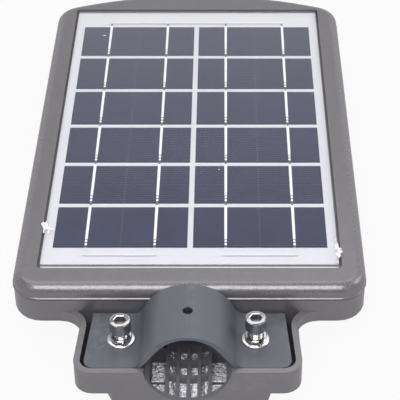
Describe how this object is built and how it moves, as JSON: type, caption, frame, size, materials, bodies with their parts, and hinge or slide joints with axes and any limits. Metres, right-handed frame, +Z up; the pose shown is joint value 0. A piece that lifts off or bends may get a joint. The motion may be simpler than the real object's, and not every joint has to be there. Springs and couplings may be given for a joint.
{
  "type": "solar street lamp",
  "caption": "All-in-one solar street lamp head: flat housing with a solar panel on top, an LED light below and a clamped neck for a lamp arm.",
  "frame": {"origin": "under the middle of the lamp, on the plane that its underside rests on", "axes": "+Y along the lamp from the neck to the nose, +Z up out of the solar panel, +X to the right seen from the neck"},
  "size_m": [0.202, 0.3826, 0.0528],
  "materials": {
    "housing_grey": "fine moulded texture, light grey",
    "cap_grey": "fine moulded texture, darker blue-grey",
    "black_rubber": "black rubber",
    "clear_glass": "clear, glossy",
    "white_backsheet": "white film",
    "silicon_cell": "blue-grey crystalline silicon with fine printed lines",
    "tinned_ribbon": "tinned copper",
    "black_plastic": "moulded black",
    "white_sealant": "cured white silicone",
    "clear_plastic": "clear moulded plate with lenses",
    "led_aluminium": "white-coated board",
    "milky_plastic": "milky sensor window",
    "circuit_board": "green board",
    "battery_sleeve": "blue shrink sleeve",
    "lead_sleeve": "red lead sleeve",
    "zinc_steel": "zinc plated",
    "bright_steel": "bright stainless steel"
  },
  "bodies": {
    "lamp_head": {"upper_housing": "housing_grey", "lower_housing": "housing_grey", "housing_gasket": "black_rubber", "lens_seal": "black_rubber", "panel_glass": "clear_glass", "panel_backsheet": "white_backsheet", "solar_cell_1": "silicon_cell", "solar_cell_2": "silicon_cell", "solar_cell_3": "silicon_cell", "solar_cell_4": "silicon_cell", "solar_cell_5": "silicon_cell", "solar_cell_6": "silicon_cell", "solar_cell_7": "silicon_cell", "solar_cell_8": "silicon_cell", "solar_cell_9": "silicon_cell", "solar_cell_10": "silicon_cell", "solar_cell_11": "silicon_cell", "solar_cell_12": "silicon_cell", "left_string_ribbons": "tinned_ribbon", "right_string_ribbons": "tinned_ribbon", "far_cross_strip": "tinned_ribbon", "panel_junction_box": "black_plastic", "switch_body": "black_plastic", "battery_holder": "black_plastic", "left_sealant": "white_sealant", "right_sealant": "white_sealant", "lens_plate": "clear_plastic", "led_board": "led_aluminium", "sensor_dome": "milky_plastic", "sensor_board": "circuit_board", "controller_board": "circuit_board", "battery_cell_1": "battery_sleeve", "battery_cell_2": "battery_sleeve", "battery_cell_3": "battery_sleeve", "battery_cell_4": "battery_sleeve", "panel_lead": "lead_sleeve", "light_lead": "lead_sleeve", "battery_lead": "lead_sleeve", "housing_screw_1": "zinc_steel", "housing_screw_2": "zinc_steel", "housing_screw_3": "zinc_steel", "housing_screw_4": "zinc_steel", "housing_screw_5": "zinc_steel", "housing_screw_6": "zinc_steel", "housing_screw_7": "zinc_steel", "housing_screw_8": "zinc_steel", "clamp_nut_left": "bright_steel", "clamp_nut_right": "bright_steel"},
    "clamp_cap": {"clamp_cap": "cap_grey", "flat_washer_left": "bright_steel", "flat_washer_right": "bright_steel", "spring_washer_left": "bright_steel", "spring_washer_right": "bright_steel"},
    "left_clamp_screw": {"clamp_screw_left": "bright_steel"},
    "right_clamp_screw": {"clamp_screw_right": "bright_steel"},
    "power_button": {"power_button": "black_rubber"}
  },
  "joints": [
    {"name": "clamp_lift", "type": "slide", "parent": "lamp_head", "child": "clamp_cap", "axis": [0, 0, 1], "range_m": [0, 0.0027]},
    {"name": "left_screw_turn", "type": "hinge", "parent": "lamp_head", "child": "left_clamp_screw", "pos_m": [-0.0372, -0.16545, 0.03], "axis": [0, 0, 1], "range_deg": [-860, 3600]},
    {"name": "right_screw_turn", "type": "hinge", "parent": "lamp_head", "child": "right_clamp_screw", "pos_m": [0.0372, -0.16545, 0.03], "axis": [0, 0, 1], "range_deg": [-1320, 3600]},
    {"name": "power_button_press", "type": "slide", "parent": "lamp_head", "child": "power_button", "axis": [0, 0, 1], "range_m": [0, 0.0012], "stiffness_N_per_m": 600, "springref_m": -0.001}
  ]
}
